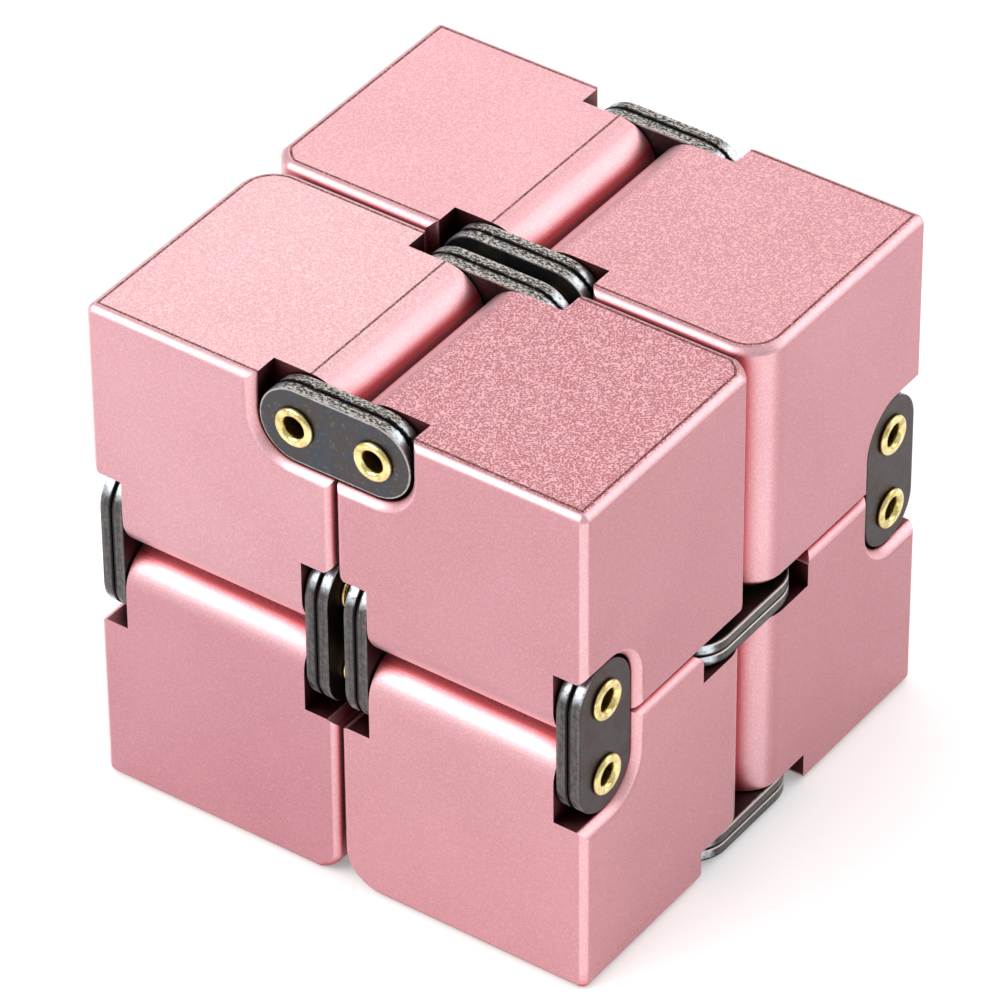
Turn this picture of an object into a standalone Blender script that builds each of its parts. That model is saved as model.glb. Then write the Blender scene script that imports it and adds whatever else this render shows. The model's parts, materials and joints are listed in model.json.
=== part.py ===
"""Infinity cube desk toy: eight metal blocks joined in a ring by eight double-pivot hinges.

Built in metres, +Z up, standing on Z = 0 with its middle over the origin.
Every hinge has two riveted pivots, with a pair of link plates at each end, so
either block can turn a quarter turn about its own pivot.
"""
import math

import bmesh
import bpy

MM = 0.001

# overall size
SIDE = 40.0 * MM                  # edge of the closed cube
GAP = 0.30 * MM                   # air between neighbouring blocks
BLOCK = (SIDE - GAP) / 2.0        # edge of one block

# block edges
PIVOT = 3.0 * MM                  # pivot to each of the two faces beside it
ROLL = PIVOT                      # hinge edges roll about their own pivot
ROLL_STEPS = 6
PASS = 3.28 * MM                  # edges that swing past a rolled edge, about the same point
PASS_STEPS = 3
SOFT = 0.80 * MM                  # every other edge
SOFT_STEPS = 3
CORNER = math.radians(45.0)        # only edges sharper than this are softened
CREASE = math.radians(30.0)

# link plates
PLATE_END = 2.90 * MM             # rounded end about each pivot
PLATE_STEPS = 10
PLATE_THICK = 0.90 * MM
PLATE_SPLIT = 0.08 * MM           # air between the two plates of a pair
PLATE_SINK = 0.50 * MM            # outer plate below the block's end face
PLATE_HOLE = 1.12 * MM

# notches that take the plates, and the bores between them
NOTCH_DEEP = 2.50 * MM
NOTCH_ROOM = 0.20 * MM            # air round the plate's end
NOTCH_STEPS = 6
BORE = 1.20 * MM
OVERCUT = 2.0 * MM

# rivets
ROUND = 16
SHANK = 1.05 * MM
RIVET_HOLE = 0.80 * MM
FLANGE = 1.50 * MM
FLANGE_SINK = 0.10 * MM
FLANGE_LIP = 0.15 * MM
FLANGE_LIFT = 0.01 * MM           # flange just clear of the plate
EYELET_PAST = 0.06 * MM           # short eyelet past its inner plate

WELD = 0.01 * MM
TOUCH = 0.001 * MM
X, Y, Z = 0, 1, 2

BLOCK_PAINT = ("anodised_rose_aluminium", (0.82, 0.45, 0.48, 1.0), 0.42, 0.85)
PLATE_PAINT = ("gunmetal_steel", (0.12, 0.11, 0.10, 1.0), 0.40, 0.95)
RIVET_PAINT = ("yellow_brass", (0.80, 0.58, 0.22, 1.0), 0.25, 1.0)

# name: side of the cube it sits on, its two hinge edges, its third edge and that edge's kind
# an edge is (axis it runs along, then the sides it is on along the other two, in X, Y, Z order)
BLOCKS = {
    "block_top_front_left": ((-1, -1, 1), ((Y, 1, 1), (X, -1, -1)), (Z, -1, 1), "roll"),
    "block_top_front_right": ((1, -1, 1), ((Y, -1, 1), (X, -1, -1)), (Z, 1, 1), "pass"),
    "block_top_back_right": ((1, 1, 1), ((Y, -1, 1), (X, 1, -1)), (Z, 1, -1), "roll"),
    "block_top_back_left": ((-1, 1, 1), ((Y, 1, 1), (X, 1, -1)), (Z, -1, -1), "pass"),
    "block_bottom_front_left": ((-1, -1, -1), ((X, -1, 1), (Z, -1, 1)), (Y, 1, -1), "pass"),
    "block_bottom_front_right": ((1, -1, -1), ((X, -1, 1), (Z, 1, 1)), (Y, -1, -1), "roll"),
    "block_bottom_back_right": ((1, 1, -1), ((X, 1, 1), (Z, 1, -1)), (Y, -1, -1), "pass"),
    "block_bottom_back_left": ((-1, 1, -1), ((X, 1, 1), (Z, -1, -1)), (Y, 1, -1), "roll"),
}

# name: axis, side of the cube along that axis, axis the two pivots are set apart on,
# outer side on the remaining axis, words for the two pivots, words for the two ends
HINGES = {
    "top_front": (Y, -1, X, 1, ("left", "right"), ("front", "rear")),
    "top_back": (Y, 1, X, 1, ("left", "right"), ("front", "rear")),
    "front_right": (X, 1, Z, -1, ("lower", "upper"), ("inner", "outer")),
    "front_left": (X, -1, Z, -1, ("lower", "upper"), ("outer", "inner")),
    "back_right": (X, 1, Z, 1, ("lower", "upper"), ("inner", "outer")),
    "back_left": (X, -1, Z, 1, ("lower", "upper"), ("outer", "inner")),
    "right_bottom": (Z, -1, Y, 1, ("front", "back"), ("lower", "upper")),
    "left_bottom": (Z, -1, Y, -1, ("front", "back"), ("lower", "upper")),
}

# the pivot of the ring whose rivet is made as two short eyelets
OPENED = ("left_bottom", "back")

# which pivot carries each block and each hinge, so the origin can sit on it
BLOCK_PIVOT = {
    "block_top_front_left": ("top_front", "left"),
    "block_top_front_right": ("front_right", "upper"),
    "block_top_back_right": ("back_right", "upper"),
    "block_top_back_left": ("top_back", "left"),
    "block_bottom_front_left": ("front_left", "lower"),
    "block_bottom_front_right": ("front_right", "lower"),
    "block_bottom_back_right": ("right_bottom", "back"),
    "block_bottom_back_left": ("back_left", "lower"),
}
HINGE_PIVOT = {
    "top_front": "right",
    "top_back": "right",
    "front_right": "lower",
    "front_left": "upper",
    "back_right": "lower",
    "back_left": "upper",
    "right_bottom": "front",
    "left_bottom": "front",
}


def clear_scene():
    for obj in list(bpy.data.objects):
        bpy.data.objects.remove(obj, do_unlink=True)


def make_paint(name, colour, rough, metal):
    paint = bpy.data.materials.new(name)
    paint.use_nodes = True
    surface = paint.node_tree.nodes["Principled BSDF"]
    surface.inputs["Base Color"].default_value = colour
    surface.inputs["Roughness"].default_value = rough
    surface.inputs["Metallic"].default_value = metal
    paint.diffuse_color = colour
    return paint


def next_axes(axis):
    """The two axes across the given one, in X, Y, Z order."""
    return [other for other in (X, Y, Z) if other != axis]


def place(mesh, name, origin, paint):
    """Turn a mesh in world place into an object whose origin is at the given point."""
    bmesh.ops.translate(mesh, verts=mesh.verts, vec=[-value for value in origin])
    bmesh.ops.recalc_face_normals(mesh, faces=mesh.faces)
    data = bpy.data.meshes.new(name)
    mesh.to_mesh(data)
    mesh.free()
    obj = bpy.data.objects.new(name, data)
    obj.location = origin
    bpy.context.collection.objects.link(obj)
    if paint:
        data.materials.append(paint)
    return obj


def smooth(obj):
    obj.data.shade_smooth()
    obj.data.set_sharp_from_angle(angle=CREASE)


def prism(outline, axis, start, end):
    """Closed prism: a flat outline across an axis, carried from start to end along it."""
    mesh = bmesh.new()
    across = next_axes(axis)
    rings = []
    for height in (start, end):
        ring = []
        for first, second in outline:
            point = [0.0, 0.0, 0.0]
            point[axis] = height
            point[across[0]] = first
            point[across[1]] = second
            ring.append(mesh.verts.new(point))
        rings.append(ring)
    count = len(outline)
    for index in range(count):
        after = (index + 1) % count
        mesh.faces.new((rings[0][index], rings[0][after], rings[1][after], rings[1][index]))
    for ring in rings:
        mesh.faces.new(ring)
    return mesh


def circle(first, second, radius, steps):
    points = []
    for index in range(steps):
        turn = 2.0 * math.pi * (index + 0.5) / steps
        points.append((first + radius * math.cos(turn), second + radius * math.sin(turn)))
    return points


def cut(obj, cutters):
    """Cut every cutter out of the object, then drop the cutters."""
    for cutter in cutters:
        cutter.hide_render = True
        cutter.display_type = "WIRE"
        modifier = obj.modifiers.new("cut", "BOOLEAN")
        modifier.operation = "DIFFERENCE"
        modifier.solver = "EXACT"
        modifier.object = cutter
    bpy.context.view_layer.update()
    graph = bpy.context.evaluated_depsgraph_get()
    finished = bpy.data.meshes.new_from_object(obj.evaluated_get(graph))
    finished.name = obj.name
    mesh = bmesh.new()
    mesh.from_mesh(finished)
    bmesh.ops.remove_doubles(mesh, verts=mesh.verts, dist=TOUCH)
    bmesh.ops.dissolve_degenerate(mesh, edges=mesh.edges, dist=TOUCH)
    mesh.to_mesh(finished)
    mesh.free()
    obj.modifiers.clear()
    old = obj.data
    obj.data = finished
    bpy.data.meshes.remove(old)
    for cutter in cutters:
        data = cutter.data
        bpy.data.objects.remove(cutter, do_unlink=True)
        bpy.data.meshes.remove(data)


def block_centre(sides):
    centre = [side * (BLOCK + GAP) / 2.0 for side in sides]
    centre[Z] += SIDE / 2.0
    return centre


def edge_of(mesh, centre, spec):
    """The straight edge of a block named by its axis and the signs of its two faces."""
    axis, first_sign, second_sign = spec
    across = next_axes(axis)
    for edge in mesh.edges:
        middle = (edge.verts[0].co + edge.verts[1].co) / 2.0
        off = [middle[index] - centre[index] for index in (X, Y, Z)]
        flat = abs(off[axis]) < WELD
        if flat and off[across[0]] * first_sign > WELD and off[across[1]] * second_sign > WELD:
            return edge
    raise ValueError("no such edge")


def rolled_block(centre, rolled, passing):
    """A cube with its rolled edges, its swing-past edge and all other edges softened."""
    mesh = bmesh.new()
    bmesh.ops.create_cube(mesh, size=BLOCK)
    bmesh.ops.translate(mesh, verts=mesh.verts, vec=centre)
    edges = [edge_of(mesh, centre, spec) for spec in rolled]
    bmesh.ops.bevel(mesh, geom=edges, offset=ROLL, segments=ROLL_STEPS, profile=0.5, affect="EDGES")
    if passing:
        swing_past(mesh, centre, passing)
    hard = [edge for edge in mesh.edges if edge.calc_face_angle(0.0) > CORNER]
    bmesh.ops.bevel(mesh, geom=hard, offset=SOFT, segments=SOFT_STEPS, profile=0.5, affect="EDGES")
    twisted = [face for face in mesh.faces if len(face.verts) == 4]
    bmesh.ops.triangulate(mesh, faces=twisted)
    return mesh


def swing_past(mesh, centre, spec):
    """Cut one edge back to a circle about the point a pivot's depth inside both faces."""
    axis, first_sign, second_sign = spec
    across = next_axes(axis)
    start = PIVOT - math.sqrt(PASS ** 2 - PIVOT ** 2)
    bmesh.ops.bevel(mesh, geom=[edge_of(mesh, centre, spec)], offset=start,
                    segments=PASS_STEPS, profile=0.5, affect="EDGES")
    inset = BLOCK / 2.0 - PIVOT
    reach = PIVOT - start - WELD
    for vert in mesh.verts:
        first = (vert.co[across[0]] - centre[across[0]]) * first_sign - inset
        second = (vert.co[across[1]] - centre[across[1]]) * second_sign - inset
        if first > reach and second > reach:
            scale = PASS / math.hypot(first, second)
            vert.co[across[0]] += first_sign * first * (scale - 1.0)
            vert.co[across[1]] += second_sign * second * (scale - 1.0)


def notch_outline(centre, spec):
    """Room for the plates: open past both faces, rounded about the pivot inside."""
    axis, first_sign, second_sign = spec
    across = next_axes(axis)
    room = PLATE_END + NOTCH_ROOM
    inset = BLOCK / 2.0 - PIVOT
    out = PIVOT + OVERCUT
    points = [(out, out), (out, -room)]
    for index in range(NOTCH_STEPS + 1):
        turn = math.pi / 2.0 * index / NOTCH_STEPS
        points.append((-room * math.sin(turn), -room * math.cos(turn)))
    points.append((-room, out))
    return [(centre[across[0]] + first_sign * (inset + first),
             centre[across[1]] + second_sign * (inset + second)) for first, second in points]


def make_block(name, sides, hinged, third, kind, paint):
    centre = block_centre(sides)
    rolled = list(hinged) + ([third] if kind == "roll" else [])
    mesh = rolled_block(centre, rolled, third if kind == "pass" else None)
    obj = place(mesh, name, pivot_point(*BLOCK_PIVOT[name]), paint)
    cutters = []
    inset = BLOCK / 2.0 - PIVOT
    for spec in hinged:
        axis, first_sign, second_sign = spec
        across = next_axes(axis)
        low = centre[axis] - BLOCK / 2.0
        high = centre[axis] + BLOCK / 2.0
        outline = notch_outline(centre, spec)
        for start, end in ((low - OVERCUT, low + NOTCH_DEEP), (high - NOTCH_DEEP, high + OVERCUT)):
            cutters.append(place(prism(outline, axis, start, end), "notch", (0.0, 0.0, 0.0), None))
        hole = circle(centre[across[0]] + first_sign * inset, centre[across[1]] + second_sign * inset,
                      BORE, ROUND)
        bore = prism(hole, axis, low + NOTCH_DEEP - OVERCUT, high - NOTCH_DEEP + OVERCUT)
        cutters.append(place(bore, "bore", (0.0, 0.0, 0.0), None))
    cut(obj, cutters)
    smooth(obj)


def hinge_span(name):
    """Where a hinge starts and ends along its own axis."""
    axis, side = HINGES[name][:2]
    near = GAP / 2.0
    low, high = (near, near + BLOCK) if side > 0 else (-near - BLOCK, -near)
    lift = SIDE / 2.0 if axis == Z else 0.0
    return low + lift, high + lift


def pivot_point(name, word):
    """The middle of one pivot, in world place."""
    axis, _side, apart, outer, words, _ends = HINGES[name]
    rest = 3 - axis - apart
    low, high = hinge_span(name)
    point = [0.0, 0.0, 0.0]
    point[axis] = (low + high) / 2.0
    sign = -1.0 if word == words[0] else 1.0
    point[apart] = sign * (PIVOT + GAP / 2.0) + (SIDE / 2.0 if apart == Z else 0.0)
    point[rest] = outer * (SIDE / 2.0 - PIVOT) + (SIDE / 2.0 if rest == Z else 0.0)
    return point


def plate_mesh(name, start, end):
    """Round-ended plate over both pivots with a hole on each."""
    axis, _side, apart, _outer, words, _ends = HINGES[name]
    across = next_axes(axis)
    pivots = [pivot_point(name, word) for word in words]
    along = across.index(apart)
    outline = []
    for side, pivot in zip((-1.0, 1.0), pivots):
        for index in range(PLATE_STEPS + 1):
            turn = math.pi * (index / PLATE_STEPS - 0.5)
            lengthwise = side * PLATE_END * math.cos(turn)
            crosswise = side * PLATE_END * math.sin(turn)
            offset = (lengthwise, crosswise) if along == 0 else (crosswise, lengthwise)
            outline.append((pivot[across[0]] + offset[0], pivot[across[1]] + offset[1]))
    holes = [circle(pivot[across[0]], pivot[across[1]], PLATE_HOLE, ROUND) for pivot in pivots]
    return prism(outline, axis, start, end), [prism(hole, axis, start - OVERCUT, end + OVERCUT)
                                              for hole in holes]


def make_plates(name, paint):
    ends = HINGES[name][5]
    low, high = hinge_span(name)
    origin = pivot_point(name, HINGE_PIVOT[name])
    for word, face, inward in ((ends[0], low, 1.0), (ends[1], high, -1.0)):
        depth = PLATE_SINK
        for layer in ("cover", "under"):
            first = face + inward * depth
            second = first + inward * PLATE_THICK
            plate, holes = plate_mesh(name, min(first, second), max(first, second))
            obj = place(plate, f"{name}_plate_{word}_{layer}", origin, paint)
            cut(obj, [place(hole, "hole", (0.0, 0.0, 0.0), None) for hole in holes])
            smooth(obj)
            depth += PLATE_THICK + PLATE_SPLIT


def flange_profile(face, inward):
    """Half of a rivet's ring section, from its hole round the lip to under the flange."""
    top = FLANGE_SINK
    under = PLATE_SINK - FLANGE_LIFT
    heights = ((RIVET_HOLE, top + FLANGE_LIP), (RIVET_HOLE + FLANGE_LIP, top),
               (FLANGE - FLANGE_LIP, top), (FLANGE, top + FLANGE_LIP),
               (FLANGE, under), (SHANK, under))
    return [(radius, face + inward * height) for radius, height in heights]


def turned(profile, axis, pivot):
    """Closed ring section turned about an axis through the pivot."""
    mesh = bmesh.new()
    across = next_axes(axis)
    rings = []
    for index in range(ROUND):
        turn = 2.0 * math.pi * (index + 0.5) / ROUND
        ring = []
        for radius, height in profile:
            point = [0.0, 0.0, 0.0]
            point[axis] = height
            point[across[0]] = pivot[across[0]] + radius * math.cos(turn)
            point[across[1]] = pivot[across[1]] + radius * math.sin(turn)
            ring.append(mesh.verts.new(point))
        rings.append(ring)
    count = len(profile)
    for index in range(ROUND):
        ring, beside = rings[index], rings[(index + 1) % ROUND]
        for step in range(count):
            after = (step + 1) % count
            mesh.faces.new((ring[step], ring[after], beside[after], beside[step]))
    return mesh


def make_rivets(name, paint):
    axis = HINGES[name][0]
    words, ends = HINGES[name][4:]
    low, high = hinge_span(name)
    origin = pivot_point(name, HINGE_PIVOT[name])
    tail = PLATE_SINK + 2.0 * PLATE_THICK + PLATE_SPLIT + EYELET_PAST
    for word in words:
        pivot = pivot_point(name, word)
        if (name, word) == OPENED:
            for end, face, inward in ((ends[0], low, 1.0), (ends[1], high, -1.0)):
                profile = flange_profile(face, inward)
                profile.append((SHANK, face + inward * tail))
                profile.append((RIVET_HOLE, face + inward * tail))
                place_round(profile, axis, pivot, f"{name}_eyelet_{word}_{end}", origin, paint)
        else:
            profile = flange_profile(low, 1.0) + flange_profile(high, -1.0)[::-1]
            place_round(profile, axis, pivot, f"{name}_rivet_{word}", origin, paint)


def place_round(profile, axis, pivot, name, origin, paint):
    obj = place(turned(profile, axis, pivot), name, origin, paint)
    smooth(obj)


def build():
    clear_scene()
    block_paint = make_paint(*BLOCK_PAINT)
    plate_paint = make_paint(*PLATE_PAINT)
    rivet_paint = make_paint(*RIVET_PAINT)
    for name, (sides, hinged, third, kind) in BLOCKS.items():
        make_block(name, sides, hinged, third, kind, block_paint)
    for name in HINGES:
        make_plates(name, plate_paint)
        make_rivets(name, rivet_paint)


build()
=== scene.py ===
import json
import math

import bmesh
import bpy
from mathutils import Matrix, Vector


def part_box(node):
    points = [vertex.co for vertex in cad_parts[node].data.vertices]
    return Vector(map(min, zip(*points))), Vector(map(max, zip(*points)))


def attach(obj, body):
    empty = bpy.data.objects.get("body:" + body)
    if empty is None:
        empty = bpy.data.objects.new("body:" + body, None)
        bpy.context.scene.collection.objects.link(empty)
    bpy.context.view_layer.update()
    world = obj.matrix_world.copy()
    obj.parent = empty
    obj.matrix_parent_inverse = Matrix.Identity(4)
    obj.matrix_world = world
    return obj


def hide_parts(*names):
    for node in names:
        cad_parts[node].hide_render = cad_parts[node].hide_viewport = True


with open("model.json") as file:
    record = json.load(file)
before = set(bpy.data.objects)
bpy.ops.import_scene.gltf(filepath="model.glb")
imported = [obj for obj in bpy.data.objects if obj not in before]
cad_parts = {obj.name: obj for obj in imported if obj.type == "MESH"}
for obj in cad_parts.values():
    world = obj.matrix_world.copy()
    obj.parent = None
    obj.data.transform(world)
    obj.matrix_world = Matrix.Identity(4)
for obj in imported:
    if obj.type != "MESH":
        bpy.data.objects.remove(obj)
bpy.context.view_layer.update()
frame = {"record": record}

# ------------------------------------------------------------------ camera
# A long lens looks down on the cube's front right upright edge, from above.
# The tilt is a hair off level.
MM = 0.001
CAMERA_PLACE = Vector((225.56, -316.79, 326.69)) * MM
CAMERA_FORWARD = Vector((-0.45635, 0.63859, -0.61963))
CAMERA_UP = Vector((-0.35359, 0.50868, 0.78499))
CAMERA_LENS = 263.6
CAMERA_SENSOR = 36.0


def facing(forward, up):
    """Rotation that looks along forward, with up kept upright."""
    back = -forward.normalized()
    right = up.cross(back).normalized()
    return Matrix((right, back.cross(right), back)).transposed()


lens = bpy.data.cameras.new("camera")
lens.lens = CAMERA_LENS
lens.sensor_width = CAMERA_SENSOR
lens.clip_start = 0.01
camera = bpy.data.objects.new("camera", lens)
camera.matrix_world = (Matrix.Translation(CAMERA_PLACE)
                       @ facing(CAMERA_FORWARD, CAMERA_UP).to_4x4())
bpy.context.collection.objects.link(camera)
bpy.context.scene.camera = camera

# ------------------------------------------------------------------ studio
# A glowing white table in a white tent, with one soft box in front to the left
# and three in a row behind.
bpy.context.scene.view_settings.view_transform = "Standard"
bpy.context.scene.view_settings.look = "None"
CUBE_MIDDLE = Vector((0.0, 0.0, 20.0)) * MM
TENT_STRENGTH = 0.70
TENT_CLOTH = (1.0, 0.99, 0.985, 1.0)
# name, direction it stands in, distance, width and height in metres, power in watts
SOFT_BOXES = (
    ("front_left_box", (-0.46, -0.62, 0.64), 0.9, 0.80, 0.55, 5.4),
    ("back_right_box", (0.62, 0.64, 0.46), 0.9, 0.80, 0.45, 1.9),
    ("back_left_box", (-0.58, 0.60, 0.56), 0.9, 0.70, 0.50, 0.82),
    ("back_box", (0.16, 0.62, 0.76), 0.9, 0.55, 0.50, 1.05),
)


class Shade:
    """One output in a material's node tree. Sums on it add Math nodes."""

    def __init__(self, tree, socket=None):
        self.tree = tree
        self.socket = socket

    def node(self, kind, settings=None, inputs=None, out=0):
        """Add a node: its settings first, then its sockets, and hand back one output."""
        made = self.tree.nodes.new(kind)
        for key, value in (settings or {}).items():
            setattr(made, key, value)
        for key, value in (inputs or {}).items():
            if isinstance(value, Shade):
                self.tree.links.new(value.socket, made.inputs[key])
            else:
                made.inputs[key].default_value = value
        return Shade(self.tree, made.outputs[out])

    def maths(self, operation, *values):
        inputs = dict(enumerate(values))
        return self.node("ShaderNodeMath", {"operation": operation}, inputs)

    def __add__(self, other):
        return self.maths("ADD", self, other)

    def __sub__(self, other):
        return self.maths("SUBTRACT", self, other)

    def __rsub__(self, other):
        return self.maths("SUBTRACT", other, self)

    def __mul__(self, other):
        return self.maths("MULTIPLY", self, other)

    def __abs__(self):
        return self.maths("ABSOLUTE", self)

    def most(self, other):
        return self.maths("MAXIMUM", self, other)

    def ease(self, low, high):
        """0 below low, 1 above high, and smooth between."""
        return self.node("ShaderNodeMapRange", {"interpolation_type": "SMOOTHSTEP"},
                         {"Value": self, "From Min": low, "From Max": high})

    def mix(self, low, high):
        """From colour low at 0 to colour high at 1."""
        return self.node("ShaderNodeMix", {"data_type": "RGBA"},
                         {"Factor": self, "A": low, "B": high}, out="Result")

    def times(self, colour):
        """One colour multiplied by another."""
        return self.node("ShaderNodeMix", {"data_type": "RGBA", "blend_type": "MULTIPLY"},
                         {"Factor": 1.0, "A": self, "B": colour}, out="Result")

    def axes(self):
        """The three parts of a vector."""
        split = self.node("ShaderNodeSeparateXYZ", None, {"Vector": self}).socket.node
        return [Shade(self.tree, part) for part in split.outputs]


def new_finish(name):
    """An empty material with its surface node, and a Shade to build on."""
    material = bpy.data.materials.new(name)
    material.use_nodes = True
    tree = material.node_tree
    return material, tree.nodes["Principled BSDF"], Shade(tree)


def feed(surface, sockets):
    """Set or link the sockets of a finish's surface node."""
    for key, value in sockets.items():
        if isinstance(value, Shade):
            value.tree.links.new(value.socket, surface.inputs[key])
        else:
            surface.inputs[key].default_value = value


tent = bpy.data.worlds.new("tent")
tent.use_nodes = True
feed(tent.node_tree.nodes["Background"], {"Color": TENT_CLOTH, "Strength": TENT_STRENGTH})
bpy.context.scene.world = tent

for name, way, distance, width, height, power in SOFT_BOXES:
    lamp = bpy.data.lights.new(name, "AREA")
    lamp.shape = "RECTANGLE"
    lamp.size = width
    lamp.size_y = height
    lamp.energy = power
    stand = bpy.data.objects.new(name, lamp)
    toward = -Vector(way).normalized()
    stand.matrix_world = (Matrix.Translation(CUBE_MIDDLE - toward * distance)
                          @ facing(toward, Vector((0.0, 0.0, 1.0))).to_4x4())
    stand.visible_camera = False
    bpy.context.collection.objects.link(stand)


def spot(shade, stretch=(1.0, 1.0, 1.0)):
    """Place on the piece in millimetres, stretched along its axes."""
    place = shade.node("ShaderNodeTexCoord", out="Object")
    scale = [value / MM for value in stretch]
    return shade.node("ShaderNodeVectorMath", {"operation": "MULTIPLY"}, {0: place, 1: scale})


def noise(shade, place, size, detail=2.0, rough=0.5):
    return shade.node("ShaderNodeTexNoise", None,
                      {"Vector": place, "Scale": size, "Detail": detail, "Roughness": rough})


TABLE_HALF = 2.0
TABLE_GLOW = 0.26
TABLE_WHITE = (0.93, 0.925, 0.925, 1.0)
TABLE_SHADE = (0.90, 0.895, 0.895, 1.0)
table_top = bmesh.new()
bmesh.ops.create_grid(table_top, x_segments=4, y_segments=4, size=TABLE_HALF)
table_mesh = bpy.data.meshes.new("table")
table_top.to_mesh(table_mesh)
table_top.free()
table = bpy.data.objects.new("table", table_mesh)
bpy.context.collection.objects.link(table)
material, surface, shade = new_finish("white_table")
cloudy = noise(shade, spot(shade), 0.02)
feed(surface, {"Base Color": cloudy.mix(TABLE_SHADE, TABLE_WHITE), "Roughness": 0.7,
               "Specular IOR Level": 0.2, "Emission Color": (1.0, 1.0, 1.0, 1.0),
               "Emission Strength": TABLE_GLOW})
table_mesh.materials.append(material)

# ------------------------------------------------------------------ blocks
# Eight solid aluminium blocks, milled, bead-blasted and anodised rose. Hinge
# edges are rolled about their pivots, so neighbours turn without touching, and
# the corners are notched for the link plates.
X, Y, Z = 0, 1, 2
PIVOT = 3.0 * MM            # pivot to each face beside it
ROLL_STEPS = 18
PASS = 3.28 * MM            # edges that swing past a rolled one
PASS_STEPS = 6
SOFT = 0.62 * MM
SOFT_BULGE = 0.42           # a quarter is a flat chamfer, a half is round
SOFT_STEPS = 6
CORNER = math.radians(45.0)
CREASE = math.radians(32.0)
NEAR = 0.01 * MM
NOTCH_DEEP = 2.50 * MM
NOTCH_END = 3.10 * MM       # round end of the notch about the pivot
NOTCH_STEPS = 18
RIM = 0.70 * MM             # broken rim where the notch meets the end face
RIM_BULGE = 1.35            # 1 is a flat chamfer, 2 a round
RIM_STEPS = 6
BORE = 1.20 * MM
BORE_STEPS = 32
PAST = 2.0 * MM
DARK_REFLECTION_WIDE = 0.19 * MM       # painted dark reflection round the end faces, where the soft edges start to round
LEVEL_SLACK = 0.0001
SEW = 0.001 * MM            # the cuts leave edges with no length, sewn shut at this
SLOTS = OPEN_SLOT, POCKET_SLOT, DARK_REFLECTION_SLOT = 0, 1, 2

# rolled hinge edges, third edge and its kind; an edge is the axis it runs along
# and the sides it is on along the other two
BLOCKS = {
    "block_top_front_left": (((Y, 1, 1), (X, -1, -1)), (Z, -1, 1), "roll"),
    "block_top_front_right": (((Y, -1, 1), (X, -1, -1)), (Z, 1, 1), "pass"),
    "block_top_back_right": (((Y, -1, 1), (X, 1, -1)), (Z, 1, -1), "roll"),
    "block_top_back_left": (((Y, 1, 1), (X, 1, -1)), (Z, -1, -1), "pass"),
    "block_bottom_front_left": (((X, -1, 1), (Z, -1, 1)), (Y, 1, -1), "pass"),
    "block_bottom_front_right": (((X, -1, 1), (Z, 1, 1)), (Y, -1, -1), "roll"),
    "block_bottom_back_right": (((X, 1, 1), (Z, 1, -1)), (Y, -1, -1), "pass"),
    "block_bottom_back_left": (((X, 1, 1), (Z, -1, -1)), (Y, 1, -1), "roll"),
}


def across(axis):
    return [other for other in (X, Y, Z) if other != axis]


def middle_and_half(node):
    """Middle of a CAD node's box, and half its size each way."""
    low, high = (Vector(corner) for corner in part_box(node))
    return (low + high) / 2.0, (high - low) / 2.0


def into_object(mesh, name):
    data = bpy.data.meshes.new(name)
    mesh.to_mesh(data)
    mesh.free()
    obj = bpy.data.objects.new(name, data)
    bpy.context.collection.objects.link(obj)
    return obj


def around(steps):
    """The angles of a full turn."""
    return [2.0 * math.pi * index / steps for index in range(steps)]


def band(mesh, ring, beside, slot=0):
    """Faces between two closed rings of points, in one material slot."""
    for index in range(len(ring)):
        after = (index + 1) % len(ring)
        face = mesh.faces.new((ring[index], ring[after], beside[after], beside[index]))
        face.material_index = slot


def join_rings(mesh, rings, closed, slots=None):
    """Skin a list of point rings; closed runs the last ring back to the first.

    slots gives the material slot of each band of faces, and of the last cap."""
    made = [[mesh.verts.new(point) for point in ring] for ring in rings]
    pairs = list(zip(made, made[1:])) + ([(made[-1], made[0])] if closed else [])
    for index, (ring, beside) in enumerate(pairs):
        band(mesh, ring, beside, slots[index] if slots else 0)
    if not closed:
        mesh.faces.new(made[0])
        mesh.faces.new(made[-1]).material_index = slots[-1] if slots else 0


def point_at(axis, along, first, second):
    """A point from its place along an axis and on the other two."""
    point = [0.0, 0.0, 0.0]
    point[axis] = along
    point[across(axis)[0]] = first
    point[across(axis)[1]] = second
    return point


def find_edge(mesh, middle, spec):
    axis, first_side, second_side = spec
    one, other = across(axis)
    for edge in mesh.edges:
        off = (edge.verts[0].co + edge.verts[1].co) / 2.0 - middle
        beside = min(off[one] * first_side, off[other] * second_side)
        if abs(off[axis]) < NEAR and beside > NEAR:
            return edge
    raise ValueError("no such edge")


def bevel(mesh, edges, size, steps, bulge=0.5):
    bmesh.ops.bevel(mesh, geom=edges, offset=size, segments=steps, profile=bulge, affect="EDGES")


def cut_past(mesh, middle, half, spec):
    """Round an edge back to a circle about the point a pivot's depth inside both faces."""
    axis, first_side, second_side = spec
    one, other = across(axis)
    start = PIVOT - math.sqrt(PASS ** 2 - PIVOT ** 2)
    bevel(mesh, [find_edge(mesh, middle, spec)], start, PASS_STEPS)
    for vert in mesh.verts:
        first = (vert.co[one] - middle[one]) * first_side - half + PIVOT
        second = (vert.co[other] - middle[other]) * second_side - half + PIVOT
        if min(first, second) > PIVOT - start - NEAR:
            scale = PASS / math.hypot(first, second)
            vert.co[one] += first_side * first * (scale - 1.0)
            vert.co[other] += second_side * second * (scale - 1.0)


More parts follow.
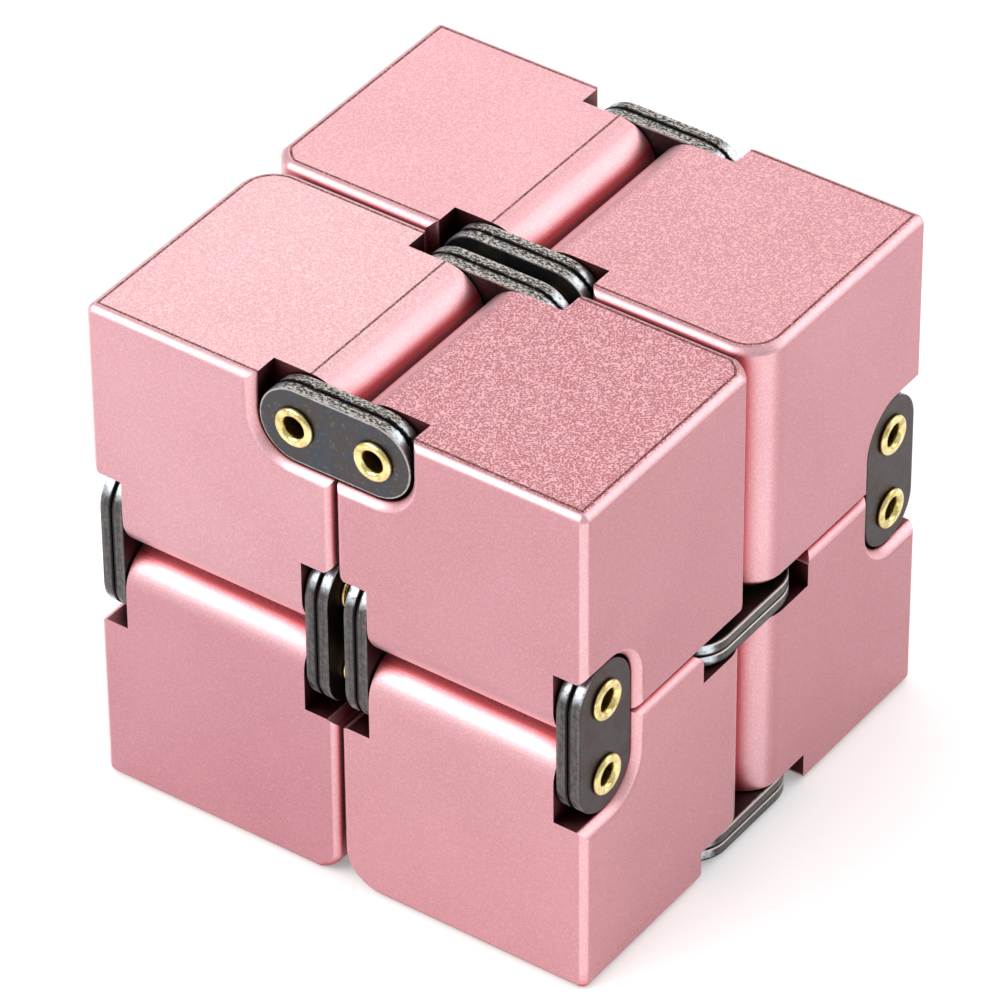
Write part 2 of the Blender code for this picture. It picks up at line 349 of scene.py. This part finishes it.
def notch_ring(pivot, axis, sides, along, grow):
    """Outline of a notch: open past both faces, round about the pivot inside."""
    reach = NOTCH_END + grow
    out = PIVOT + PAST
    points = [(out, out), (out, -reach)]
    for index in range(NOTCH_STEPS + 1):
        turn = math.pi / 2.0 * index / NOTCH_STEPS
        points.append((-reach * math.sin(turn), -reach * math.cos(turn)))
    points.append((-reach, out))
    return [point_at(axis, along, pivot[0] + sides[0] * first, pivot[1] + sides[1] * second)
            for first, second in points]


def pivot_beside(middle, half, spec):
    """Where a hinge edge's pivot lies on the two axes across it."""
    axis, first_side, second_side = spec
    one, other = across(axis)
    return middle[one] + first_side * (half - PIVOT), middle[other] + second_side * (half - PIVOT)


def into_cutter(mesh):
    """A tool for a boolean cut, with as many material slots as the block has."""
    bmesh.ops.recalc_face_normals(mesh, faces=mesh.faces)
    cutter = into_object(mesh, "cutter")
    for _slot in SLOTS:
        cutter.data.materials.append(None)
    return cutter


def rim_grow(depth):
    """How much wider a notch is at a depth below the end face, inside its broken rim."""
    left = 1.0 - depth / RIM
    return RIM * (1.0 - (1.0 - left ** RIM_BULGE) ** (1.0 / RIM_BULGE))


def notch_cutter(middle, half, hinged):
    """One mesh that takes out all four notches of a block."""
    mesh = bmesh.new()
    for axis, first_side, second_side in hinged:
        pivot = pivot_beside(middle, half, (axis, first_side, second_side))
        for end in (-1.0, 1.0):
            face = middle[axis] + end * half
            depths = [RIM * step / RIM_STEPS for step in range(RIM_STEPS + 1)]
            levels = [(-PAST, RIM)] + [(depth, rim_grow(depth)) for depth in depths]
            levels.append((NOTCH_DEEP, 0.0))
            rings = [notch_ring(pivot, axis, (first_side, second_side), face - end * depth, grow)
                     for depth, grow in levels]
            slots = [OPEN_SLOT] * (RIM_STEPS + 1) + [POCKET_SLOT, POCKET_SLOT]
            join_rings(mesh, rings, closed=False, slots=slots)
    return into_cutter(mesh)


def bore_cutter(middle, half, hinged):
    """Both bores of a block, each from notch to notch.

    They are cut after the notches: one tool that overlaps itself leaves them uncut."""
    mesh = bmesh.new()
    for spec in hinged:
        axis = spec[0]
        pivot = pivot_beside(middle, half, spec)
        rings = [[point_at(axis, middle[axis] + end * (half - PAST),
                           pivot[0] + BORE * math.cos(turn), pivot[1] + BORE * math.sin(turn))
                  for turn in around(BORE_STEPS)] for end in (-1.0, 1.0)]
        join_rings(mesh, rings, closed=False, slots=[POCKET_SLOT, POCKET_SLOT])
    return into_cutter(mesh)


def applied(obj, kind, settings):
    """Run one modifier on an object and keep its result as the mesh."""
    modifier = obj.modifiers.new(kind, kind)
    for key, value in settings.items():
        setattr(modifier, key, value)
    bpy.context.view_layer.update()
    graph = bpy.context.evaluated_depsgraph_get()
    finished = bpy.data.meshes.new_from_object(obj.evaluated_get(graph))
    finished.name = obj.name
    obj.modifiers.clear()
    old = obj.data
    obj.data = finished
    bpy.data.meshes.remove(old)


def smoothed(obj):
    """Smooth shading that leaves flat faces flat."""
    obj.data.shade_smooth()
    obj.data.set_sharp_from_angle(angle=CREASE)
    applied(obj, "WEIGHTED_NORMAL", {"keep_sharp": True, "weight": 90})


def dark_reflection_strip(mesh, middle, half, hinged, outer, beside_roll):
    """A narrow strip round the outer end face, for the painted dark reflection where the soft edge
    starts to round.
    """
    ends = [face for face in mesh.faces if face.normal[Z] * outer > 1.0 - LEVEL_SLACK]
    rolls = [(across(axis)[0], side) for axis, side, height in hinged
             if axis != Z and height == outer]
    strip = bmesh.ops.inset_individual(mesh, faces=ends, thickness=DARK_REFLECTION_WIDE, use_even_offset=True)
    for face in strip["faces"]:
        place = face.calc_center_median()
        off = [(place[axis] - middle[axis]) * side for axis, side in rolls]
        if beside_roll or all(away < half - PIVOT - DARK_REFLECTION_WIDE for away in off):
            face.material_index = DARK_REFLECTION_SLOT


def milled_block(node, hinged, third, kind):
    middle, halves = middle_and_half(node)
    half = halves[Z]
    mesh = bmesh.new()
    bmesh.ops.create_cube(mesh, size=2.0 * half)
    bmesh.ops.translate(mesh, verts=mesh.verts, vec=middle)
    rolled = list(hinged) + ([third] if kind == "roll" else [])
    bevel(mesh, [find_edge(mesh, middle, spec) for spec in rolled], PIVOT, ROLL_STEPS)
    if kind == "pass":
        cut_past(mesh, middle, half, third)
    bevel(mesh, [edge for edge in mesh.edges if edge.calc_face_angle(0.0) > CORNER],
          SOFT, SOFT_STEPS, SOFT_BULGE)
    outer = 1.0 if "top" in node else -1.0
    dark_reflection_strip(mesh, middle, half, hinged, outer, beside_roll="left" in node)
    bmesh.ops.triangulate(mesh, faces=[face for face in mesh.faces if len(face.verts) == 4])
    obj = into_object(mesh, node.replace("block", "cube_block"))
    for _slot in SLOTS:
        obj.data.materials.append(None)
    for tool in (notch_cutter, bore_cutter):
        cutter = tool(middle, half, hinged)
        applied(obj, "BOOLEAN",
                {"operation": "DIFFERENCE", "solver": "EXACT", "object": cutter})
        bpy.data.objects.remove(cutter)
    sewn = bmesh.new()
    sewn.from_mesh(obj.data)
    bmesh.ops.remove_doubles(sewn, verts=sewn.verts, dist=SEW)
    sewn.to_mesh(obj.data)
    sewn.free()
    smoothed(obj)
    return obj


# the finish: rose dye over a blasted skin, coarser on the top faces, with painted light and painted
# shade in its colour
# painted dark reflection: a thin line round the end faces
ROSE_DARK_REFLECTION = (0.13, 0.04, 0.04, 1.0)
# painted sheen: a lighter rose on the rolled and soft edges
ROSE_PAINTED_SHEEN = (0.84, 0.52, 0.555, 1.0)
# painted shade: pocket walls, the same rose as the blocks, painted dark
POCKET_SHADED_ROSE = (0.13, 0.028, 0.03, 1.0)
POCKET_CUT_SHADED = (0.36, 0.13, 0.14, 1.0)
# painted shade in the gaps between blocks: red, then black deeper in
GAP_SHADE_RED = (0.50, 0.045, 0.055, 1.0)
GAP_SHADE_BLACK = (0.045, 0.003, 0.004, 1.0)
GAP_SHADE_REACH = 2.6 * MM
SPECK = (0.70, 0.58, 0.59, 1.0)     # how far the grain darkens the dye
X_FACE_PAINTED_SHADE = (0.93, 0.89, 0.885, 1.0)   # painted shade: faces across X are a touch darker
UNSHADED = (1.0, 1.0, 1.0, 1.0)
BEADS_PER_MM = 7.4                  # marks of the blasting beads
BEADS_MIDDLE = 0.55
PITS_PER_MM = 6.2
SAND_PER_MM = 1.3
MIST_PER_MM = 0.10
FLAT = (0.86, 0.99)                 # how squarely a flat face looks along its axis
LEVEL = (0.90, 0.98)                # and an end face along Z
BLAST_HIGH = 0.022 * MM
CUT_PER_MM = 6.0
CUT_HIGH = 0.01 * MM
OPEN_SAMPLES = 8
# painted light: each block's end faces and sides are lighter or darker for how light falls on it,
# the end faces lighter than the sides; and how coarse the grain of its ends is
PAINTED_LIGHT_AND_GRAIN = {
    "block_top_front_left": ((0.93, 0.585, 0.61, 1.0), (0.67, 0.375, 0.415, 1.0), 0.50),
    "block_top_back_left": ((0.87, 0.50, 0.535, 1.0), (0.66, 0.345, 0.38, 1.0), 0.40),
    "block_top_back_right": ((0.83, 0.455, 0.49, 1.0), (0.64, 0.335, 0.375, 1.0), 0.75),
    "block_top_front_right": ((0.82, 0.45, 0.485, 1.0), (0.61, 0.315, 0.35, 1.0), 1.20),
    "block_bottom_front_left": ((0.80, 0.43, 0.465, 1.0), (0.59, 0.295, 0.335, 1.0), 0.75),
    "block_bottom_back_left": ((0.84, 0.46, 0.50, 1.0), (0.64, 0.335, 0.37, 1.0), 0.60),
    "block_bottom_back_right": ((0.79, 0.42, 0.455, 1.0), (0.62, 0.32, 0.355, 1.0), 0.90),
    "block_bottom_front_right": ((0.82, 0.45, 0.485, 1.0), (0.66, 0.35, 0.385, 1.0), 0.70),
}


def openness(shade, reach):
    """1 in the open, less where other surfaces stand within reach."""
    return shade.node("ShaderNodeAmbientOcclusion", {"samples": OPEN_SAMPLES},
                      {"Distance": reach}, out="AO")


def crevices(shade, reach, open_enough):
    """1 in the open, falling to 0 down in gaps and corners: the mask for painted shade."""
    return openness(shade, reach).ease(0.10, open_enough)


def raised(shade, height, high):
    """Bump from a height of 0 to 1 that stands for a real height."""
    return shade.node("ShaderNodeBump", None,
                      {"Strength": 1.0, "Distance": high, "Height": height})


def painted_gap_shade(shade, skin, flat):
    """Painted shade: rounded edges near a gap are painted red, then black deep in the gap.

    Flat faces keep their dye, so they are right when the cube is folded open."""
    clear = openness(shade, GAP_SHADE_REACH)
    near = clear.ease(0.30, 0.92).most(flat).mix(GAP_SHADE_RED, skin)
    return clear.ease(0.05, 0.38).most(flat).mix(GAP_SHADE_BLACK, near)


def anodised(name, end_rose, side_rose, coarse, with_dark_reflection):
    """Rose anodising: blasted grain on the end faces, finer satin on the sides, with painted light:
    lighter end faces, a painted sheen, painted shade.
    """
    material, surface, shade = new_finish(name)
    place = spot(shade)
    facing_way = [abs(part) for part in shade.node("ShaderNodeTexCoord", out="Normal").axes()]
    level = facing_way[Z].ease(*LEVEL)
    flat = facing_way[X].most(facing_way[Y]).most(facing_way[Z]).ease(*FLAT)
    pitted = noise(shade, place, PITS_PER_MM, 2.0, 0.75) - 0.5
    beads = shade.node("ShaderNodeTexVoronoi", None,
                       {"Vector": place, "Scale": BEADS_PER_MM}, out="Distance")
    grain = (beads - BEADS_MIDDLE) * 0.9 + pitted * 0.35
    sand = noise(shade, place, SAND_PER_MM, 2.0, 0.6)
    mist = noise(shade, place, MIST_PER_MM, 2.0, 0.5)
    # painted light: end faces lighter than the sides, and a painted sheen on rolled and soft edges
    painted_light_tone = level.mix(flat.mix(ROSE_PAINTED_SHEEN, side_rose), end_rose)
    # painted shade on the faces across X
    painted_light_tone = painted_light_tone.times(facing_way[X].ease(*FLAT).mix(UNSHADED, X_FACE_PAINTED_SHADE))
    deep = 0.35 + 0.95 * coarse
    dark = painted_light_tone.times(level.mix(SPECK, [1.0 - (1.0 - part) * deep for part in SPECK]))
    cloud = (mist - 0.5) * 0.3 + 0.62 - level * 0.12
    skin = (grain * (level * (1.8 * coarse) + 0.5) + cloud).ease(0.0, 1.0).mix(dark, painted_light_tone)
    # painted reflection: a speckled dark line on the strip
    if with_dark_reflection:
        skin = (pitted * 2.2 + sand * 0.5 - 0.04).ease(0.0, 1.0).mix(ROSE_DARK_REFLECTION, skin)
    bump = raised(shade, pitted * (level * coarse + 0.15), BLAST_HIGH)
    feed(surface, {"Base Color": painted_gap_shade(shade, skin, flat), "Metallic": 0.92,
                   "Roughness": sand * 0.05 - level * 0.04 + 0.38, "Normal": bump})
    return material


def shaded_pocket_finish():
    """Milled pocket walls, left with the cutter's marks, in painted shade: dark rose, and black
    where other surfaces close in.
    """
    material, surface, shade = new_finish("rose_pocket_painted_shade")
    marks = noise(shade, spot(shade, (0.4, 0.4, 1.0)), CUT_PER_MM, 3.0, 0.6)
    # painted shade: black where other surfaces close in on the pocket
    lit = openness(shade, 2.0 * GAP_SHADE_REACH).ease(0.22, 0.90)
    colour = lit.mix(GAP_SHADE_BLACK, marks.mix(POCKET_SHADED_ROSE, POCKET_CUT_SHADED))
    feed(surface, {"Base Color": colour, "Metallic": 0.92, "Roughness": marks * 0.2 + 0.38,
                   "Normal": raised(shade, marks, CUT_HIGH)})
    return material


pocket = shaded_pocket_finish()
for node, (hinged, third, kind) in BLOCKS.items():
    obj = milled_block(node, hinged, third, kind)
    obj.data.materials[OPEN_SLOT] = anodised("rose_" + node, *PAINTED_LIGHT_AND_GRAIN[node], with_dark_reflection=False)
    obj.data.materials[POCKET_SLOT] = pocket
    obj.data.materials[DARK_REFLECTION_SLOT] = anodised("rose_dark_reflection_" + node, *PAINTED_LIGHT_AND_GRAIN[node], with_dark_reflection=True)
    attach(obj, node)
    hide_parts(node)

# ------------------------------------------------------------- link plates
# Stamped steel links, blackened and tumbled, two at each end of every hinge.
# Their rims are worn bright, their round ends have a painted highlight, and their sheared edges
# show drawn lines.
PLATE_EDGE = ((0.22, 0.0), (0.09, 0.0), (0.03, 0.02), (0.0, 0.09))   # inset, depth in mm
PLAIN, PALE, SEAM = 0.5, 1.0, 0.0
PLATE_HOLE = 1.10 * MM
PLATE_STEPS = 24
HOLE_STEPS = 40
HINGES = ("top_front", "top_back", "front_right", "front_left",
          "back_right", "back_left", "right_bottom", "left_bottom")


def stamped_plate(node):
    """A round-ended plate over two pivots: rim pale outside, dark where it meets its twin.

    Level plates are pale along their upper rims instead."""
    middle, halves = middle_and_half(node)
    flat, wide, long = sorted((X, Y, Z), key=lambda axis: halves[axis])
    reach = halves[long] - halves[wide]
    mesh = bmesh.new()
    wear = mesh.verts.layers.float.new("wear")
    sort, other = ("cover", "under") if "cover" in node else ("under", "cover")
    twin = node.replace(sort, other)
    seam_first = flat == Z or middle_and_half(twin)[0][flat] < middle[flat]

    def place(depth, cross, lengthwise):
        point = Vector(middle)
        point[flat] += depth
        point[wide] += cross
        point[long] += lengthwise
        return point

    rings = []
    profile = [(inset * MM, depth * MM - halves[flat]) for inset, depth in PLATE_EDGE]
    profile += [(inset, -depth) for inset, depth in reversed(profile)]
    for inset, depth in profile:
        radius = halves[wide] - inset
        ring = []
        for end in (-1.0, 1.0):
            for step in range(PLATE_STEPS + 1):
                turn = math.pi * (step / PLATE_STEPS - 0.5)
                ring.append(place(depth, end * radius * math.sin(turn),
                                  end * (reach + radius * math.cos(turn))))
        rings.append(ring)
    mid = len(rings) // 2
    rings.insert(mid, [(low + high) / 2.0 for low, high in zip(rings[mid - 1], rings[mid])])
    made = [[mesh.verts.new(point) for point in ring] for ring in rings]
    for index, ring in enumerate(made):
        for vert in ring:
            rim = SEAM if (index < len(made) / 2) == seam_first else PALE
            vert[wear] = PLAIN if index in (0, mid, len(made) - 1) else rim
    for ring, beside in zip(made, made[1:]):
        band(mesh, ring, beside)
    outlines = []
    for side, rim in ((-1.0, made[0]), (1.0, made[-1])):
        loops = [rim]
        for end in (-1.0, 1.0):
            hole = [place(side * halves[flat], PLATE_HOLE * math.sin(turn),
                          end * reach + PLATE_HOLE * math.cos(turn)) for turn in around(HOLE_STEPS)]
            loops.append([mesh.verts.new(point) for point in hole])
            for vert in loops[-1]:
                vert[wear] = PLAIN
        outlines.append(loops)
        edges = []
        for loop in loops:
            for index, vert in enumerate(loop):
                after = loop[(index + 1) % len(loop)]
                edges.append(mesh.edges.get((vert, after)) or mesh.edges.new((vert, after)))
        bmesh.ops.triangle_fill(mesh, use_beauty=True, use_dissolve=False, edges=edges)
    for low, high in zip(outlines[0][1:], outlines[1][1:]):
        band(mesh, low, high)
    bmesh.ops.recalc_face_normals(mesh, faces=mesh.faces)
    obj = into_object(mesh, node.replace("plate", "link_plate"))
    smoothed(obj)
    return obj, flat, long


GUNMETAL_BROWN = (0.070, 0.060, 0.058, 1.0)
GUNMETAL_BLUE = (0.056, 0.062, 0.076, 1.0)
GUNMETAL_WORN = (0.42, 0.40, 0.37, 1.0)
# black for the seams between twin plates, and for painted shade
GUNMETAL_BLACK = (0.008, 0.006, 0.006, 1.0)
GUNMETAL_RIM = (0.62, 0.56, 0.50, 1.0)
SHEARED_DARK = (0.030, 0.026, 0.024, 1.0)
SHEARED_PALE = (0.56, 0.52, 0.49, 1.0)
TUMBLED_DARK = (0.050, 0.046, 0.046, 1.0)
TUMBLED_PALE = (0.17, 0.155, 0.15, 1.0)
TUMBLED_FACE = (0.050, 0.027, 0.026, 1.0)
# painted highlight: pale blue-white on the round ends
TIP_PAINTED_HIGHLIGHT = (0.66, 0.71, 0.76, 1.0)
LINES_PER_MM = 6.0          # marks through a plate's thickness
SPECKS_PER_MM = 3.5         # and along its edge, sheared or tumbled
STREAKS_PER_MM = 0.3
TINT_PER_MM = 0.75
MOTTLE_PER_MM = 3.2
CHIPS_PER_MM = 2.2
SCALE_HIGH = 0.02 * MM
# how far painted shade reaches on the plates
PAINTED_SHADE_REACH = 1.4 * MM


def gunmetal(name, flat, long, sheared):
    """Blackened steel: speckled along a sheared edge, dull when tumbled, with a painted highlight
    on the round ends and painted shade close to other surfaces.

    Level plates rub on the blocks above and below, so their rims are the brightest."""
    material, surface, shade = new_finish(name)
    place = spot(shade)
    drawn = [0.0, 0.0, 0.0]
    drawn[flat] = LINES_PER_MM
    drawn[long] = SPECKS_PER_MM if sheared else STREAKS_PER_MM
    facing_way = shade.node("ShaderNodeTexCoord", out="Normal").axes()
    edge_on = abs(facing_way[flat]).ease(0.7, 0.2)
    along = abs(facing_way[long])
    tint = noise(shade, place, TINT_PER_MM, 3.0, 0.6).ease(0.35, 0.65)
    mottle = noise(shade, place, MOTTLE_PER_MM, 4.0, 0.7)
    chips = noise(shade, place, CHIPS_PER_MM, 3.0, 0.7)
    lines = noise(shade, spot(shade, drawn), 1.0, 2.0, 0.8)
    wear = shade.node("ShaderNodeAttribute", {"attribute_name": "wear"}, out="Fac")
    pale_rim = wear.ease(0.62, 1.0)
    rubbed = 0.75 if sheared or flat == Z else 0.10
    if sheared:
        blackened = tint.mix(GUNMETAL_BROWN, GUNMETAL_BLUE)
        bare = 0.12
        streak = (lines - 0.5) * 5.0 + (mottle - 0.5) * 0.6 + pale_rim * 0.35 + 0.36
        edge = streak.ease(0.0, 1.0).mix(SHEARED_DARK, SHEARED_PALE)
    else:
        blackened = tint.mix(TUMBLED_FACE, TUMBLED_DARK)
        bare = 0.03
        streak = (lines - 0.5) * 1.0 + (mottle - 0.5) * 1.3 + pale_rim * 0.2 + 0.36
        edge = streak.ease(0.0, 1.0).mix(TUMBLED_DARK, TUMBLED_PALE)
        if flat == Z:
            bright = wear.ease(0.84, 1.0) * (mottle + 0.45)
            edge = bright.ease(0.2, 0.9).mix(edge, GUNMETAL_RIM)
    worn = pale_rim * rubbed + (mottle - 0.5) * 1.4 + bare
    face = worn.ease(0.15, 1.0).mix(blackened, GUNMETAL_WORN)
    # painted highlight on the round ends, broken up by chips
    round_end = along.ease(0.30, 0.55) * (1.0 - along.ease(0.86, 0.99))
    tip_highlight = round_end * (chips * 3.0 - 0.75).ease(0.0, 1.0)
    skin = edge_on.mix(face, tip_highlight.mix(edge, TIP_PAINTED_HIGHLIGHT))
    if sheared:
        wear = wear + (chips - 0.5) * 0.7
    lit = wear.ease(0.02, 0.20).mix(GUNMETAL_BLACK, skin)
    # painted shade: black where other surfaces stand close, as round the rivets and in the notches
    colour = crevices(shade, PAINTED_SHADE_REACH, 0.85).mix(GUNMETAL_BLACK, lit)
    bump = raised(shade, lines * edge_on + mottle * 0.4, SCALE_HIGH)
    feed(surface, {"Base Color": colour, "Metallic": 0.9, "Roughness": mottle * 0.22 + 0.24,
                   "Normal": bump})
    return material


finishes = {}
for hinge in HINGES:
    for node in sorted(frame["record"]["behaviour"]["bodies"]["link_" + hinge]):
        if "plate" not in node:
            continue
        obj, flat, long = stamped_plate(node)
        sheared = hinge.startswith("top")
        key = (flat, long, sheared)
        if key not in finishes:
            name = f"gunmetal_{'xyz'[flat]}{'xyz'[long]}_{'sheared' if sheared else 'tumbled'}"
            finishes[key] = gunmetal(name, flat, long, sheared)
        obj.data.materials.append(finishes[key])
        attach(obj, "link_" + hinge)
        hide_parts(node)

# ------------------------------------------------------------------ rivets
# Drawn brass tube through each pivot, both ends rolled over into a round
# flange on the cover plates. The opened pivot has two short eyelets instead.
RIVET_STEPS = 48
RIVET_HOLE = 0.80 * MM
SHANK = 1.05 * MM
FLANGE_HIGH = 0.39 * MM
FLANGE_FLATS = math.cos(math.pi / 16.0)
# rolled flange: share of the way from hole to rim, and share of its height from the top
FLANGE_ROLL = ((0.0, 1.6), (0.0, 1.0), (0.03, 0.66), (0.12, 0.36), (0.26, 0.13),
               (0.44, 0.02), (0.58, 0.0), (0.74, 0.05), (0.88, 0.20), (0.97, 0.42),
               (1.0, 0.64), (0.97, 0.86), (0.90, 1.0))


def turned_ring(mesh, axis, middle, profile):
    """Ring section turned about an axis."""
    one, other = across(axis)
    rings = [[point_at(axis, middle[axis] + along, middle[one] + radius * math.cos(turn),
                       middle[other] + radius * math.sin(turn)) for radius, along in profile]
             for turn in around(RIVET_STEPS)]
    join_rings(mesh, rings, closed=True)


def rolled_rivet(node, axis):
    middle, halves = middle_and_half(node)
    flange = halves[across(axis)[0]] / FLANGE_FLATS
    half = halves[axis]
    outer = [(RIVET_HOLE + (flange - RIVET_HOLE) * out, -half + FLANGE_HIGH * down)
             for out, down in FLANGE_ROLL]
    shank = [(SHANK, -half + FLANGE_HIGH)]
    if "eyelet" in node:
        end = 1.0 if node.endswith("upper") else -1.0
        profile = outer + shank + [(SHANK, half), (RIVET_HOLE, half)]
        profile = [(radius, -end * along) for radius, along in profile]
    else:
        profile = outer + shank
        profile += [(radius, -along) for radius, along in reversed(profile)]
    mesh = bmesh.new()
    turned_ring(mesh, axis, middle, profile)
    bmesh.ops.recalc_face_normals(mesh, faces=mesh.faces)
    obj = into_object(mesh, node.replace("rivet", "brass_rivet").replace("eyelet", "brass_eyelet"))
    smoothed(obj)
    return obj


BRASS = (0.85, 0.74, 0.37, 1.0)
BRASS_DEEP = (0.50, 0.39, 0.12, 1.0)
# painted shade: brown down inside the tube
BRASS_PAINTED_SHADE = (0.52, 0.27, 0.08, 1.0)
TARNISH_PER_MM = 1.4
SCUFFS_PER_MM = 9.0
SCUFF_HIGH = 0.008 * MM
TUBE_REACH = 1.6 * MM
material, surface, shade = new_finish("rolled_brass")
place = spot(shade)
tarnish = noise(shade, place, TARNISH_PER_MM, 3.0, 0.6).ease(0.35, 0.75)
scuffs = noise(shade, place, SCUFFS_PER_MM, 3.0, 0.6)
# painted shade: brown inside the tube and under the flange
colour = crevices(shade, TUBE_REACH, 0.72).mix(BRASS_PAINTED_SHADE, tarnish.mix(BRASS, BRASS_DEEP))
feed(surface, {"Base Color": colour, "Metallic": 1.0, "Roughness": scuffs * 0.15 + 0.14,
               "Normal": raised(shade, scuffs, SCUFF_HIGH)})
for hinge in HINGES:
    nodes = sorted(frame["record"]["behaviour"]["bodies"]["link_" + hinge])
    plate = next(node for node in nodes if "plate" in node)
    halves = middle_and_half(plate)[1]
    axis = min((X, Y, Z), key=lambda one: halves[one])
    for node in nodes:
        if "plate" in node:
            continue
        obj = rolled_rivet(node, axis)
        obj.data.materials.append(material)
        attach(obj, "link_" + hinge)
        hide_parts(node)
